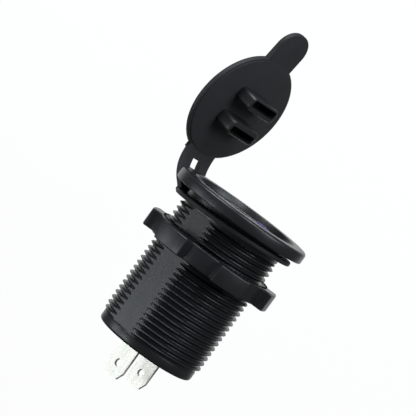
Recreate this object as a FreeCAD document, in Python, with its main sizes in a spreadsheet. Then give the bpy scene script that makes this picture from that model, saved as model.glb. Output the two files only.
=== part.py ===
"""Panel-mounted dual USB power socket with a rubber cap, as a parametric document.

Millimetres. The origin is the centre of the flange's underside, +Z points out of the panel to the front,
the cap's strap is at -X, and the ports' long sides, the lid's hinge and the flats' normals run along Y.
"""
import FreeCAD, Part
import math
import os
from types import SimpleNamespace

import Sketcher

# Driving dimensions, each written once.
SIZES = {
    # housing: flange, dish and threaded barrel
    "flange_radius": 18.5,
    "flange_height": 2.9,
    "flange_bevel": 0.5,
    "dish_radius": 14.7,
    "dish_depth": 1.4,
    "floor_thickness": 1.6,
    "barrel_length": 39.2,
    "bore_radius": 11.4,
    "crest_radius": 14.2,
    "thread_land": 1.0,
    "ridge_height": 0.85,
    "ridge_sink": 0.3,
    "ridges": 13,
    "ridge_facets": 32,
    "neck_length": 3.4,
    "neck_step": 0.3,
    "collar_length": 2.5,
    "collar_step": 0.7,
    "collar_bevel": 0.5,
    "flat_depth": 1.05,
    # ports: metal shells, moulded tongues and contacts
    "port_spacing": 7.5,
    "shell_width": 13.1,
    "shell_height": 5.7,
    "shell_wall": 0.3,
    "shell_corner": 0.7,
    "shell_length": 13.9,
    "shell_proud": 0.1,
    "window_clearance": 0.15,
    "insulator_clearance": 0.05,
    "insulator_depth": 4.0,
    "tongue_width": 9.0,
    "tongue_thickness": 1.4,
    "tongue_offset": 0.4,
    "tongue_recess": 1.0,
    "contact_width": 1.0,
    "contact_thickness": 0.15,
    "contact_length": 7.0,
    "contact_pitch": 2.3,
    # indicator beside the ports
    "lens_length": 4.4,
    "lens_width": 2.0,
    "lens_corner": 0.9,
    "lens_offset": 9.9,
    "lens_crown": 0.25,
    "lens_clearance": 0.1,
    "led_width": 2.0,
    "led_depth": 1.2,
    "led_height": 2.0,
    # circuit board and what it carries
    "board_width": 20.0,
    "board_thickness": 1.6,
    "board_length": 32.4,
    "board_gap": 0.3,
    "inductor_side": 8.0,
    "inductor_height": 4.2,
    "inductor_corner": 1.6,
    "inductor_drop": 20.0,
    "input_can_radius": 3.15,
    "input_can_length": 8.0,
    "output_can_radius": 2.5,
    "output_can_length": 7.0,
    "can_offset": 3.8,
    "can_drop": 16.5,
    "controller_length": 5.0,
    "controller_width": 4.0,
    "controller_height": 1.5,
    "diode_length": 4.4,
    "diode_width": 2.6,
    "diode_height": 2.2,
    "converter_drop": 25.0,
    "converter_offset": 2.4,
    "chip_length": 1.6,
    "chip_width": 0.8,
    "chip_height": 0.6,
    "chip_pitch": 1.8,
    "chip_drop": 27.0,
    # spade blades and the cover that carries them
    "blade_width": 6.3,
    "blade_thickness": 0.8,
    "blade_reach": 9.5,
    "blade_offset": 5.0,
    "blade_tip_width": 4.3,
    "blade_tip_taper": 2.0,
    "blade_hole_radius": 1.0,
    "blade_hole_from_tip": 3.5,
    "shoulder_width": 8.4,
    "shoulder_height": 1.4,
    "fork_width": 4.6,
    "fork_height": 2.6,
    "fork_clearance": 0.05,
    "cover_thickness": 2.2,
    "cover_recess": 0.3,
    "cover_clearance": 0.1,
    "slot_clearance": 0.1,
    # nut
    "nut_height": 4.8,
    "nut_drop": 9.6,
    "nut_overhang": 0.0,
    "nut_clearance": 0.25,
    "nut_wall": 1.55,
    "nut_lug_angle": 30.0,
    "nut_lugs": 6,
    "nut_turn": 30.6,
    "nut_lead_in": 0.6,
    "nut_edge_break": 0.3,
    # rubber cap: ring, strap and lid
    "ring_radius": 16.65,
    "ring_thickness": 1.2,
    "ring_drop": 1.6,
    "ring_clearance": 0.25,
    "ring_tilt": 2.5,
    "ring_root": 0.5,
    "strap_width": 11.5,
    "strap_thickness": 1.2,
    "strap_gap": 0.15,
    "strap_root_gap": 0.55,
    "strap_slot_width": 3.6,
    "strap_slot_length": 2.3,
    "strap_slot_height": 3.65,
    "lid_radius": 15.3,
    "lid_layer": 1.4,
    "lid_stub": 0.2,
    "lid_seat_gap": 0.3,
    "lid_bevel": 0.35,
    "lid_open": 82.4,
    "hinge_clearance": 1.8,
    "hinge_height": 1.3,
    "tab_width": 10.8,
    "tab_length": 8.6,
    "tab_corner": 5.0,
    "plug_width": 11.4,
    "plug_height": 3.8,
    "plug_reach": 5.7,
    "plug_end_wall": 0.8,
    "plug_fit": 0.25,
    "plug_swing": 0.45,
    "plug_corner": 0.7,
}


class Size:
    """A length or angle that knows both its formula in the sheet and its present value."""

    def __init__(self, text, value):
        self.text = text
        self.value = value

    @staticmethod
    def of(other):
        return other if isinstance(other, Size) else Size(repr(other), other)

    def __add__(self, other):
        other = Size.of(other)
        return Size(f"({self.text} + {other.text})", self.value + other.value)

    def __sub__(self, other):
        other = Size.of(other)
        return Size(f"({self.text} - {other.text})", self.value - other.value)

    def __mul__(self, other):
        other = Size.of(other)
        return Size(f"({self.text} * {other.text})", self.value * other.value)

    def __truediv__(self, other):
        other = Size.of(other)
        return Size(f"({self.text} / {other.text})", self.value / other.value)

    def __neg__(self):
        return Size(f"(0 - {self.text})", -self.value)

    def __rmul__(self, other):
        return self * other


def cosine(angle):
    """The cosine of an angle in degrees."""
    return Size(f"cos({angle.text} * 1 deg)", math.cos(math.radians(angle.value)))


def sine(angle):
    """The sine of an angle in degrees."""
    return Size(f"sin({angle.text} * 1 deg)", math.sin(math.radians(angle.value)))


def root(square):
    """The square root of a size."""
    return Size(f"sqrt({square.text})", math.sqrt(square.value))


doc = FreeCAD.newDocument("dual_usb_socket")
sheet = doc.addObject("Spreadsheet::Sheet", "Sizes")
for row, (alias, number) in enumerate(SIZES.items(), start=1):
    sheet.set(f"A{row}", alias)
    sheet.set(f"B{row}", str(number))
    sheet.setAlias(f"B{row}", alias)
doc.recompute()
S = SimpleNamespace(**{alias: Size(f"Sizes.{alias}", number) for alias, number in SIZES.items()})
ZERO = Size("0", 0.0)

# Places that several pieces share.
floor_top = S.flange_height - S.dish_depth
floor_under = floor_top - S.floor_thickness
mouth = floor_top + S.shell_proud
shell_back = mouth - S.shell_length
tongue_root = shell_back + S.insulator_depth
tongue_place = S.port_spacing / 2 + S.tongue_offset
shell_inner_width = S.shell_width - 2 * S.shell_wall
shell_inner_height = S.shell_height - 2 * S.shell_wall
board_face = S.board_thickness / 2
board_top = floor_under - S.board_gap
board_foot = board_top - S.board_length
thread_start = -(S.neck_length + S.thread_land)
thread_foot = S.collar_length - S.barrel_length
root_radius = S.crest_radius - S.ridge_height
neck_radius = S.crest_radius - S.neck_step
collar_radius = S.crest_radius - S.collar_step
flat_distance = S.crest_radius - S.flat_depth
core_radius = root_radius - S.ridge_sink
cover_under = S.cover_recess - S.barrel_length
cover_top = cover_under + S.cover_thickness
blade_tip = -(S.barrel_length + S.blade_reach)
lid_under = S.flange_height + S.lid_seat_gap
lid_top = lid_under + S.lid_layer
stub_edge = S.lid_radius + S.lid_stub
ring_top = -S.ring_drop
ring_middle = ring_top - S.ring_thickness / 2
ring_edge = S.ring_radius + S.ring_root
nut_top = -S.nut_drop
nut_radius = S.flange_radius + S.nut_overhang
hinge_reach = S.flange_radius + S.hinge_clearance
nut_bore = S.crest_radius + S.nut_clearance
nut_recess = nut_bore + S.nut_wall
ports = {"a": -1, "b": 1}


def bind(target, path, formula):
    """Let a property of an object follow a formula of the sheet."""
    target.setExpression(path, Size.of(formula).text)


class Outline:
    """A closed sketch on one of a body's origin planes, with every corner's place bound to the sheet."""

    def __init__(self, body, name, role, offset=None):
        self.sketch = body.newObject("Sketcher::SketchObject", name)
        plane = next(f for f in body.Origin.OriginFeatures if f.Role == role)
        self.sketch.AttachmentSupport = [(plane, "")]
        self.sketch.MapMode = "FlatFace"
        if offset is not None:
            bind(self.sketch, "AttachmentOffset.Base.z", offset)

    def constrain(self, kind, formula, *places):
        """Add one constraint whose size follows a formula."""
        formula = Size.of(formula)
        number = self.sketch.addConstraint(Sketcher.Constraint(kind, *places, formula.value))
        self.sketch.setExpression(f"Constraints[{number}]", formula.text)

    def place(self, edge, end, point):
        """Hold one end of an edge at a point of the sketch."""
        self.constrain("DistanceX", point[0], -1, 1, edge, end)
        self.constrain("DistanceY", point[1], -1, 1, edge, end)

    def line(self, start, end):
        """Add a straight edge with both ends held."""
        a, b = (FreeCAD.Vector(Size.of(p[0]).value, Size.of(p[1]).value, 0) for p in (start, end))
        edge = self.sketch.addGeometry(Part.LineSegment(a, b), False)
        self.place(edge, 1, start)
        return edge

    def polygon(self, points):
        """Add a closed run of straight edges."""
        edges = [self.line(p, points[(i + 1) % len(points)]) for i, p in enumerate(points)]
        for i, edge in enumerate(edges):
            self.join(edge, 2, edges[(i + 1) % len(edges)], 1)
        return self

    def join(self, edge, end, other, other_end):
        """Let two edges share an end."""
        self.sketch.addConstraint(Sketcher.Constraint("Coincident", edge, end, other, other_end))

    def rectangle(self, middle, across, along):
        """Add a rectangle about a middle point."""
        low = (middle[0] - across / 2, middle[1] - along / 2)
        high = (middle[0] + across / 2, middle[1] + along / 2)
        return self.polygon([low, (high[0], low[1]), high, (low[0], high[1])])

    def circle(self, middle, radius):
        """Add a circle."""
        point = FreeCAD.Vector(Size.of(middle[0]).value, Size.of(middle[1]).value, 0)
        normal = FreeCAD.Vector(0, 0, 1)
        edge = self.sketch.addGeometry(Part.Circle(point, normal, radius.value), False)
        self.place(edge, 3, middle)
        self.constrain("Radius", radius, edge)
        return self

    def arc(self, middle, radius, first, last):
        """Add an arc between two angles in degrees, with its middle and radius held."""
        point = FreeCAD.Vector(Size.of(middle[0]).value, Size.of(middle[1]).value, 0)
        whole = Part.Circle(point, FreeCAD.Vector(0, 0, 1), radius.value)
        span = Part.ArcOfCircle(whole, math.radians(first), math.radians(last))
        return self.sketch.addGeometry(span, False)

    def rounded(self, middle, across, along, corner):
        """Add a rectangle with round corners about a middle point."""
        x, y = Size.of(middle[0]), Size.of(middle[1])
        half, tall = across / 2, along / 2
        lines = []
        for turn, (u, v) in enumerate(((1, -1), (1, 1), (-1, 1), (-1, -1))):
            inset = (corner * (turn % 2), corner * (1 - turn % 2))
            start = (x + u * (half - inset[0]), y + v * (tall - inset[1]))
            w, q = ((1, 1), (-1, 1), (-1, -1), (1, -1))[turn]
            finish = (x + w * (half - inset[0]), y + q * (tall - inset[1]))
            edge = self.line(start, finish)
            self.place(edge, 2, finish)
            lines.append(edge)
        for turn, (u, v) in enumerate(((1, 1), (-1, 1), (-1, -1), (1, -1))):
            centre = (x + u * (half - corner), y + v * (tall - corner))
            edge = self.arc(centre, corner, 90 * turn, 90 * turn + 90)
            self.join(edge, 1, lines[turn], 2)
            self.join(edge, 2, lines[(turn + 1) % 4], 1)
            self.constrain("Radius", corner, edge)
        return self


def new_body(name):
    """A body that makes one sub-part."""
    body = doc.addObject("PartDesign::Body", name)
    body.Label = name
    return body


def pad(body, name, outline, length, reverse=False, both_ways=False):
    """Raise an outline along its plane's normal."""
    feature = body.newObject("PartDesign::Pad", name)
    feature.Profile = outline.sketch
    bind(feature, "Length", length)
    feature.Reversed = reverse
    feature.Midplane = both_ways
    doc.recompute()
    return feature


def cut(body, name, outline, length, upward):
    """Sink an outline into the body, and make sure that it removed something."""
    before = body.Shape.Volume
    feature = body.newObject("PartDesign::Pocket", name)
    feature.Profile = outline.sketch
    bind(feature, "Length", length)
    feature.Reversed = upward
    doc.recompute()
    if not feature.Shape.Volume < before:
        raise RuntimeError(f"{name} cut nothing")
    return feature


def turn(body, name, outline, kind="PartDesign::Revolution", angle=None):
    """Turn an outline about the sketch's vertical axis."""
    feature = body.newObject(kind, name)
    feature.Profile = outline.sketch
    feature.ReferenceAxis = (outline.sketch, ["V_Axis"])
    if angle is None:
        feature.Angle = 360
    else:
        bind(feature, "Angle", angle)
        feature.Midplane = True
    doc.recompute()
    return feature


def edges_of(body, wanted):
    """The names of the edges of a body's present shape that pass a test."""
    return [f"Edge{i}" for i, edge in enumerate(body.Shape.Edges, start=1) if wanted(edge)]


def bevel(body, name, amount, wanted):
    """Bevel the edges that pass a test."""
    base = body.Tip
    edges = edges_of(body, wanted)
    feature = body.newObject("PartDesign::Chamfer", name)
    feature.Base = (base, edges)
    bind(feature, "Size", amount)
    doc.recompute()
    return feature


def at_height(edge, height):
    """Whether an edge lies in one plane across Z."""
    box = edge.BoundBox
    return abs(box.ZMin - height.value) < 1e-4 and abs(box.ZMax - height.value) < 1e-4


def is_ring(edge, radius):
    """Whether an edge is an arc of this radius."""
    curve = edge.Curve
    return isinstance(curve, Part.Circle) and abs(curve.Radius - radius.value) < 1e-4


def make_housing():
    """Flange, dish with windows for two ports and a lens, and the hollow threaded barrel with its flats."""
    body = new_body("moulding")
    turn(body, "shape", Outline(body, "shape_outline", "XZ_Plane").polygon([
        (ZERO, floor_top),
        (S.dish_radius, floor_top),
        (S.dish_radius, S.flange_height),
        (S.flange_radius, S.flange_height),
        (S.flange_radius, ZERO),
        (neck_radius, ZERO),
        (neck_radius, -S.neck_length),
        (S.crest_radius, -S.neck_length),
        (S.crest_radius, thread_start),
        (core_radius, thread_start),
        (core_radius, thread_foot),
        (collar_radius, thread_foot),
        (collar_radius, -S.barrel_length),
        (S.bore_radius, -S.barrel_length),
        (S.bore_radius, floor_under),
        (ZERO, floor_under),
    ]))
    bevel(body, "flange_edge", S.flange_bevel,
          lambda e: at_height(e, S.flange_height) and is_ring(e, S.flange_radius))
    bevel(body, "collar_edge", S.collar_bevel,
          lambda e: at_height(e, -S.barrel_length) and is_ring(e, collar_radius))
    flats = Outline(body, "flats_outline", "XY_Plane", thread_foot)
    depth = S.flat_depth
    for side in (-1, 1):
        middle = (ZERO, side * (flat_distance + depth))
        flats.rectangle(middle, 2 * S.crest_radius, 2 * depth)
    cut(body, "flats", flats, -(thread_foot + S.neck_length), upward=True)
    windows = Outline(body, "window_outline", "XY_Plane", floor_top)
    for side in ports.values():
        windows.rounded((side * S.port_spacing / 2, ZERO), S.shell_height + 2 * S.window_clearance,
                        S.shell_width + 2 * S.window_clearance, S.shell_corner)
    windows.rounded((ZERO, S.lens_offset), S.lens_length + 2 * S.lens_clearance,
                    S.lens_width + 2 * S.lens_clearance, S.lens_corner)
    cut(body, "windows", windows, S.floor_thickness, upward=False)
    housing = doc.addObject("Part::MultiFuse", "housing")
    housing.Label = "housing"
    housing.Shapes = [body, make_ridges()]
    doc.recompute()
    return housing


def make_ridges():
    """The thread as coarse ridges with few facets, cut back to the flats and to a tube on the barrel's core."""
    step = (thread_start - thread_foot) / (2 * S.ridges)
    rings = []
    for i in range(2 * SIZES["ridges"] + 1):
        ring = doc.addObject("Part::RegularPolygon", f"ridge_line_{i}")
        bind(ring, "Polygon", S.ridge_facets)
        bind(ring, "Circumradius", S.crest_radius if i % 2 else root_radius)
        bind(ring, "Placement.Base.z", thread_start - i * step)
        rings.append(ring)
    turns = doc.addObject("Part::Loft", "ridge_turns")
    turns.Sections = rings
    turns.Solid = True
    turns.Ruled = True
    depth = S.flat_depth
    sides = (2 * S.crest_radius, 2 * depth, thread_start - thread_foot)
    near = new_box("near_flat", (-S.crest_radius, -(flat_distance + 2 * depth), thread_foot), sides)
    far = new_box("far_flat", (-S.crest_radius, flat_distance, thread_foot), sides)
    core = doc.addObject("Part::Cylinder", "ridge_core")
    bind(core, "Radius", core_radius - S.ridge_sink)
    bind(core, "Height", thread_start - thread_foot)
    bind(core, "Placement.Base.z", thread_foot)
    away = doc.addObject("Part::MultiFuse", "flats_and_core")
    away.Shapes = [near, far, core]
    ridges = doc.addObject("Part::Cut", "ridges")
    ridges.Base = turns
    ridges.Tool = away
    doc.recompute()
    return ridges


def make_shell(name, side):
    """Folded metal shell of one port, open at both ends."""
    body = new_body(name)
    middle = (side * S.port_spacing / 2, ZERO)
    outline = Outline(body, "wall_outline", "XY_Plane", shell_back)
    outline.rounded(middle, S.shell_height, S.shell_width, S.shell_corner)
    outline.rounded(middle, shell_inner_height, shell_inner_width, S.shell_corner - S.shell_wall)
    pad(body, "wall", outline, S.shell_length)
    return body


def make_insulator(name, side):
    """Moulded block at the back of one port's shell, with the tongue that carries the contacts."""
    body = new_body(name)
    middle = (side * S.port_spacing / 2, ZERO)
    gap = 2 * S.insulator_clearance
    block = Outline(body, "block_outline", "XY_Plane", shell_back)
    block.rounded(middle, shell_inner_height - gap, shell_inner_width - gap, S.shell_corner - S.shell_wall)
    pad(body, "block", block, S.insulator_depth)
    tongue = Outline(body, "tongue_outline", "XY_Plane", tongue_root)
    tongue.rectangle((side * tongue_place, ZERO), S.tongue_thickness, S.tongue_width)
    pad(body, "tongue", tongue, mouth - S.tongue_recess - tongue_root)
    return body


def new_box(name, corner, sides):
    """A Part box from its lowest corner and its sides along X, Y and Z."""
    box = doc.addObject("Part::Box", name)
    for axis, place in zip("xyz", corner):
        bind(box, f"Placement.Base.{axis}", place)
    for side, length in zip(("Length", "Width", "Height"), sides):
        bind(box, side, length)
    return box


def group(name, pieces):
    """Several separate like pieces in one sub-part."""
    compound = doc.addObject("Part::Compound", name)
    compound.Links = pieces
    compound.Label = name
    return compound


def make_contacts(name, side):
    """Four flat contacts on the side of one tongue that faces the board."""
    face = side * (tongue_place - S.tongue_thickness / 2)
    low = face if side < 0 else face - S.contact_thickness
    strips = []
    for i in range(4):
        middle = (i - 1.5) * S.contact_pitch
        corner = (low, middle - S.contact_width / 2, tongue_root)
        strips.append(new_box(f"{name}_{i}", corner,
                              (S.contact_thickness, S.contact_width, S.contact_length)))
    return group(name, strips)


def make_lens():
    """Light window in the dish's floor, with a slightly crowned top."""
    body = new_body("indicator_lens")
    outline = Outline(body, "lens_outline", "XY_Plane", floor_under)
    outline.rounded((ZERO, S.lens_offset), S.lens_length, S.lens_width, S.lens_corner)
    pad(body, "lens", outline, S.floor_thickness + S.lens_crown)
    top = floor_top + S.lens_crown
    bevel(body, "crown", S.lens_crown, lambda e: at_height(e, top))
    return body


def on_board(name, side, middle_y, top, sides):
    """A box-shaped component on one face of the board; sides are its height, width and length."""
    height, width, length = sides
    low = board_face if side > 0 else -(board_face + height)
    box = new_box(name, (low, middle_y - width / 2, top - length), sides)
    box.Label = name
    return box


def make_board():
    """Circuit board in the plane between the two ports."""
    board = new_box("circuit_board", (-board_face, -S.board_width / 2, board_foot),
                    (S.board_thickness, S.board_width, S.board_length))
    board.Label = "circuit_board"
    return board


def make_inductor():
    """Square shielded inductor of the converter."""
    body = new_body("power_inductor")
    outline = Outline(body, "inductor_outline", "YZ_Plane", board_face)
    outline.rounded((ZERO, -S.inductor_drop), S.inductor_side, S.inductor_side, S.inductor_corner)
    pad(body, "inductor", outline, S.inductor_height)
    return body


def make_can(name, offset, radius, length):
    """Capacitor can that lies along the board on the face towards the strap."""
    can = doc.addObject("Part::Cylinder", name)
    can.Label = name
    bind(can, "Radius", radius)
    bind(can, "Height", length)
    bind(can, "Placement.Base.x", -(board_face + radius))
    bind(can, "Placement.Base.y", offset)
    bind(can, "Placement.Base.z", -(S.can_drop + length))
    return can


def make_chips():
    """Two rows of chip resistors and capacitors on the face of the board towards the strap."""
    chips = []
    for i in range(6):
        column, line = divmod(i, 3)
        middle = (column - 0.5) * 2 * S.chip_pitch
        top = -(S.chip_drop + line * S.chip_pitch)
        chips.append(on_board(f"chip_{i}", -1, middle, top, (S.chip_height, S.chip_length, S.chip_width)))
    return group("chip_components", chips)


def make_cover():
    """Disc that closes the barrel, with a slot for each blade."""
    body = new_body("rear_cover")
    outline = Outline(body, "cover_outline", "XY_Plane", cover_under)
    outline.circle((ZERO, ZERO), S.bore_radius - S.cover_clearance)
    for side in (-1, 1):
        outline.rectangle((ZERO, side * S.blade_offset), S.blade_width + 2 * S.slot_clearance,
                          S.blade_thickness + 2 * S.slot_clearance)
    pad(body, "cover", outline, S.cover_thickness)
    return body


def make_blade(name, side):
    """Spade blade: tapered tip with a hole, shoulder on the cover, and fork that takes the board's edge."""
    body = new_body(name)
    widths = (S.blade_width, S.blade_tip_width, S.shoulder_width, S.fork_width)
    half, tip, shoulder, fork = (w / 2 for w in widths)
    groove = board_face + S.fork_clearance
    taper_top = blade_tip + S.blade_tip_taper
    step = cover_top + S.shoulder_height
    fork_top = board_foot + S.fork_height
    crotch = board_foot - S.fork_clearance
    right = [
        (tip, blade_tip),
        (half, taper_top),
        (half, cover_top),
        (shoulder, cover_top),
        (shoulder, step),
        (fork, step),
        (fork, fork_top),
        (groove, fork_top),
        (groove, crotch),
    ]
    left = [(-x, z) for x, z in reversed(right)]
    outline = Outline(body, "blade_outline", "XZ_Plane").polygon(right + left)
    outline.circle((ZERO, blade_tip + S.blade_hole_from_tip), S.blade_hole_radius)
    bind(outline.sketch, "AttachmentOffset.Base.z", -side * S.blade_offset)
    pad(body, "blade", outline, S.blade_thickness, both_ways=True)
    return body


def make_nut():
    """Nut with lugs round it, recessed between them, and a lead-in at the top of its bore."""
    body = new_body("mounting_nut")
    foot = nut_top - S.nut_height
    turn(body, "blank", Outline(body, "blank_outline", "XZ_Plane").polygon([
        (nut_bore, foot),
        (nut_radius, foot),
        (nut_radius, nut_top),
        (nut_bore + S.nut_lead_in, nut_top),
        (nut_bore, nut_top - S.nut_lead_in),
    ]))
    bevel(body, "rim", S.nut_edge_break, lambda e: is_ring(e, nut_radius))
    recess = Outline(body, "recess_outline", "XZ_Plane").polygon([
        (nut_recess, foot - S.nut_edge_break),
        (nut_radius + S.nut_edge_break, foot - S.nut_edge_break),
        (nut_radius + S.nut_edge_break, nut_top + S.nut_edge_break),
        (nut_recess, nut_top + S.nut_edge_break),
    ])
    gap = Size(f"(360 / {S.nut_lugs.text} - {S.nut_lug_angle.text})",
               360 / S.nut_lugs.value - S.nut_lug_angle.value)
    groove = turn(body, "recess", recess, "PartDesign::Groove", gap)
    lugs = body.newObject("PartDesign::PolarPattern", "lugs")
    lugs.Originals = [groove]
    lugs.Axis = (recess.sketch, ["V_Axis"])
    lugs.Angle = 360
    bind(lugs, "Occurrences", S.nut_lugs)
    body.Tip = lugs
    body.Placement = FreeCAD.Placement(FreeCAD.Vector(), FreeCAD.Rotation(FreeCAD.Vector(0, 0, 1), 1))
    half_step = Size(f"(180 / {S.nut_lugs.text})", 180 / S.nut_lugs.value)
    bind(body, "Placement.Rotation.Angle", (S.nut_turn + half_step) * Size("1 deg", 1))
    doc.recompute()
    return body


def tilt(body, angle, pivot_x, pivot_z):
    """Turn a body by an angle about a line along Y."""
    body.Placement = FreeCAD.Placement(FreeCAD.Vector(), FreeCAD.Rotation(FreeCAD.Vector(0, 1, 0), 1))
    c, s = cosine(angle), sine(angle)
    bind(body, "Placement.Rotation.Angle", angle * Size("1 deg", 1))
    bind(body, "Placement.Base.x", pivot_x - pivot_x * c - pivot_z * s)
    bind(body, "Placement.Base.z", pivot_z + pivot_x * s - pivot_z * c)
    doc.recompute()


def make_ring():
    """Rubber ring round the barrel's neck, with the straight edge that the strap grows from."""
    body = new_body("cap_ring")
    foot = ring_top - S.ring_thickness
    outline = Outline(body, "ring_outline", "XY_Plane", foot).circle((ZERO, ZERO), S.ring_radius)
    pad(body, "disc", outline, S.ring_thickness)
    edge = Outline(body, "edge_outline", "XY_Plane", foot)
    edge.rectangle((-ring_edge / 2, ZERO), ring_edge, S.strap_width)
    pad(body, "edge", edge, S.ring_thickness)
    hole = Outline(body, "hole_outline", "XY_Plane", ring_top)
    hole.circle((ZERO, ZERO), neck_radius + S.ring_clearance)
    cut(body, "hole", hole, S.ring_thickness, upward=False)
    tilt(body, -S.ring_tilt, ZERO, ring_middle)
    return body


def make_strap():
    """Bent rubber strap from the ring's edge to the lid, one arc, with a small slot."""
    body = new_body("cap_strap")
    c, s = cosine(S.lid_open), sine(S.lid_open)
    # The middle of the lid's layer at its stub, where the strap ends, turned from shut to open.
    across = stub_edge + S.strap_gap - hinge_reach
    rise = lid_under + S.lid_layer / 2 - S.hinge_height
    end = (-(hinge_reach + across * c + rise * s), S.hinge_height - across * s + rise * c)
    # The middle of the ring's straight edge, where it starts.
    foot = ring_edge + S.strap_root_gap
    start = (-(foot * cosine(S.ring_tilt)), ring_middle - foot * sine(S.ring_tilt))
    chord = (end[0] - start[0], end[1] - start[1])
    span = root(chord[0] * chord[0] + chord[1] * chord[1])
    # Half the arc's turn: the strap meets the lid along the lid's own plane.
    lean = Size(f"(atan2({chord[1].text}; -({chord[0].text})) / 1 deg)",
                math.degrees(math.atan2(chord[1].value, -chord[0].value)))
    half_turn = 180 * Size("1", 1) - S.lid_open - lean
    radius = span / (2 * sine(half_turn))
    # The arc's middle lies square to the lid's plane at the strap's end.
    middle = (end[0] + radius * s, end[1] - radius * c)
    outline = Outline(body, "band_outline", "XZ_Plane")
    inner, outer = radius - S.strap_thickness / 2, radius + S.strap_thickness / 2
    corners = []
    for r in (inner, outer):
        share = r / radius
        corners.append([tuple(m + (p - m) * share for m, p in zip(middle, point)) for point in (start, end)])
    low = outline.line(corners[0][0], corners[1][0])
    outline.place(low, 2, corners[1][0])
    high = outline.line(corners[1][1], corners[0][1])
    outline.place(high, 2, corners[0][1])
    walls = ((inner, corners[0], ((low, 1), (high, 2))), (outer, corners[1], ((low, 2), (high, 1))))
    for r, (a, b), ends in walls:
        angles = [math.degrees(math.atan2(p[1].value - middle[1].value, p[0].value - middle[0].value)) % 360
                  for p in (b, a)]
        edge = outline.arc(middle, r, angles[0], angles[1])
        outline.join(edge, 1, *ends[1])
        outline.join(edge, 2, *ends[0])
        outline.constrain("Radius", r, edge)
    pad(body, "band", outline, S.strap_width, both_ways=True)
    slot = Outline(body, "slot_outline", "YZ_Plane")
    slot.rectangle((ZERO, S.strap_slot_height), S.strap_slot_width, S.strap_slot_length)
    cut(body, "slot", slot, 2 * hinge_reach, upward=False)
    return body


def make_lid():
    """Rubber lid with its pull tab and two hollow plugs, modelled shut and then swung open."""
    body = new_body("cap_lid")
    outline = Outline(body, "layer_outline", "XY_Plane", lid_under).circle((ZERO, ZERO), S.lid_radius)
    pad(body, "layer", outline, S.lid_layer)
    stub = Outline(body, "stub_outline", "XY_Plane", lid_under)
    stub.rectangle((-stub_edge / 2, ZERO), stub_edge, S.strap_width)
    pad(body, "stub", stub, S.lid_layer)
    tab = Outline(body, "tab_outline", "XY_Plane", lid_under)
    reach = S.lid_radius + S.tab_length
    tab.rounded((reach / 2, ZERO), reach, S.tab_width, S.tab_corner)
    pad(body, "tab", tab, S.lid_layer)
    bevel(body, "outer_edge", S.lid_bevel,
          lambda e: at_height(e, lid_top) and e.BoundBox.XMax > -S.lid_radius.value)
    plugs = Outline(body, "plug_outline", "XY_Plane", lid_under)
    for side in ports.values():
        middle = (side * S.port_spacing / 2, ZERO)
        plugs.rounded(middle, S.plug_height, S.plug_width, S.plug_corner)
        # The hollow takes the tongue, with more room on the side that it comes in from.
        hollow = (side * tongue_place + (S.plug_fit - S.plug_swing) / 2, ZERO)
        plugs.rectangle(hollow, S.tongue_thickness + S.plug_fit + S.plug_swing,
                        S.plug_width - 2 * S.plug_end_wall)
    pad(body, "plugs", plugs, S.plug_reach, reverse=True)
    tilt(body, -S.lid_open, -hinge_reach, S.hinge_height)
    return body


nodes = [
    make_housing(),
    make_lens(),
    make_cover(),
    make_board(),
    make_inductor(),
    make_can("input_capacitor", S.can_offset, S.input_can_radius, S.input_can_length),
    make_can("output_capacitor", -S.can_offset, S.output_can_radius, S.output_can_length),
    on_board("controller_chip", 1, S.converter_offset, -S.converter_drop,
             (S.controller_height, S.controller_width, S.controller_length)),
    on_board("rectifier_diode", 1, -S.converter_offset, -S.converter_drop,
             (S.diode_height, S.diode_width, S.diode_length)),
    on_board("indicator_led", 1, S.board_width / 2 - S.led_width / 2, board_top,
             (S.led_depth, S.led_width, S.led_height)),
    make_chips(),
    make_blade("blade_positive", -1),
    make_blade("blade_negative", 1),
    make_nut(),
    make_ring(),
    make_strap(),
    make_lid(),
]
for letter, side in ports.items():
    nodes.append(make_shell(f"usb_shell_{letter}", side))
    nodes.append(make_insulator(f"usb_insulator_{letter}", side))
    nodes.append(make_contacts(f"usb_contacts_{letter}", side))

doc.recompute()
for item in doc.Objects:
    if "Invalid" in item.State or "Error" in item.State:
        raise RuntimeError(f"{item.Name} failed: {item.State}")
for node in nodes:
    if node.Shape.isNull() or not node.Shape.isValid():
        raise RuntimeError(f"{node.Label} has no valid shape")

os.makedirs("parts", exist_ok=True)
for node in nodes:
    node.Shape.exportStep(os.path.join("parts", f"{node.Label}.step"))
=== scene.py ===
"""Studio scene of a panel-mounted dual USB power socket with its rubber cap hanging open.

Sizes are in millimetres in the part's own frame: the origin is the centre of the flange's underside, +Z points
out of the panel to the front, and the cap's strap is at -X.
"""
import logging
import math
from dataclasses import dataclass, field
from enum import Enum
from typing import Any, Optional, Sequence, Union

import bmesh
import bpy
import numpy as np
from mathutils import Matrix, Vector
from mathutils.geometry import tessellate_polygon


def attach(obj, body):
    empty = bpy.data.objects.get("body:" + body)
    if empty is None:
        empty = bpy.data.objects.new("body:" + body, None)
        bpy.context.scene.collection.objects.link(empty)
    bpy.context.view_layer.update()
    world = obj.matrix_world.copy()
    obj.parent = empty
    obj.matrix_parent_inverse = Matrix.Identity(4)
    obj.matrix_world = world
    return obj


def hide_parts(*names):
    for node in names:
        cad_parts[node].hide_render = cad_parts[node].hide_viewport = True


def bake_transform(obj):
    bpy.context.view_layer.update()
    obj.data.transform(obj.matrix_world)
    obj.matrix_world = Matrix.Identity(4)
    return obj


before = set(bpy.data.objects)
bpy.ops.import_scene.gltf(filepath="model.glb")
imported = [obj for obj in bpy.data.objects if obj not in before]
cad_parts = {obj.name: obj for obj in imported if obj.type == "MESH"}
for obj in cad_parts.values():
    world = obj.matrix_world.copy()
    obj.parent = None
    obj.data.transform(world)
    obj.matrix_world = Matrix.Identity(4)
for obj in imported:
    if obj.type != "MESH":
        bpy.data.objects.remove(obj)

log = logging.getLogger("usb_socket")

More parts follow.
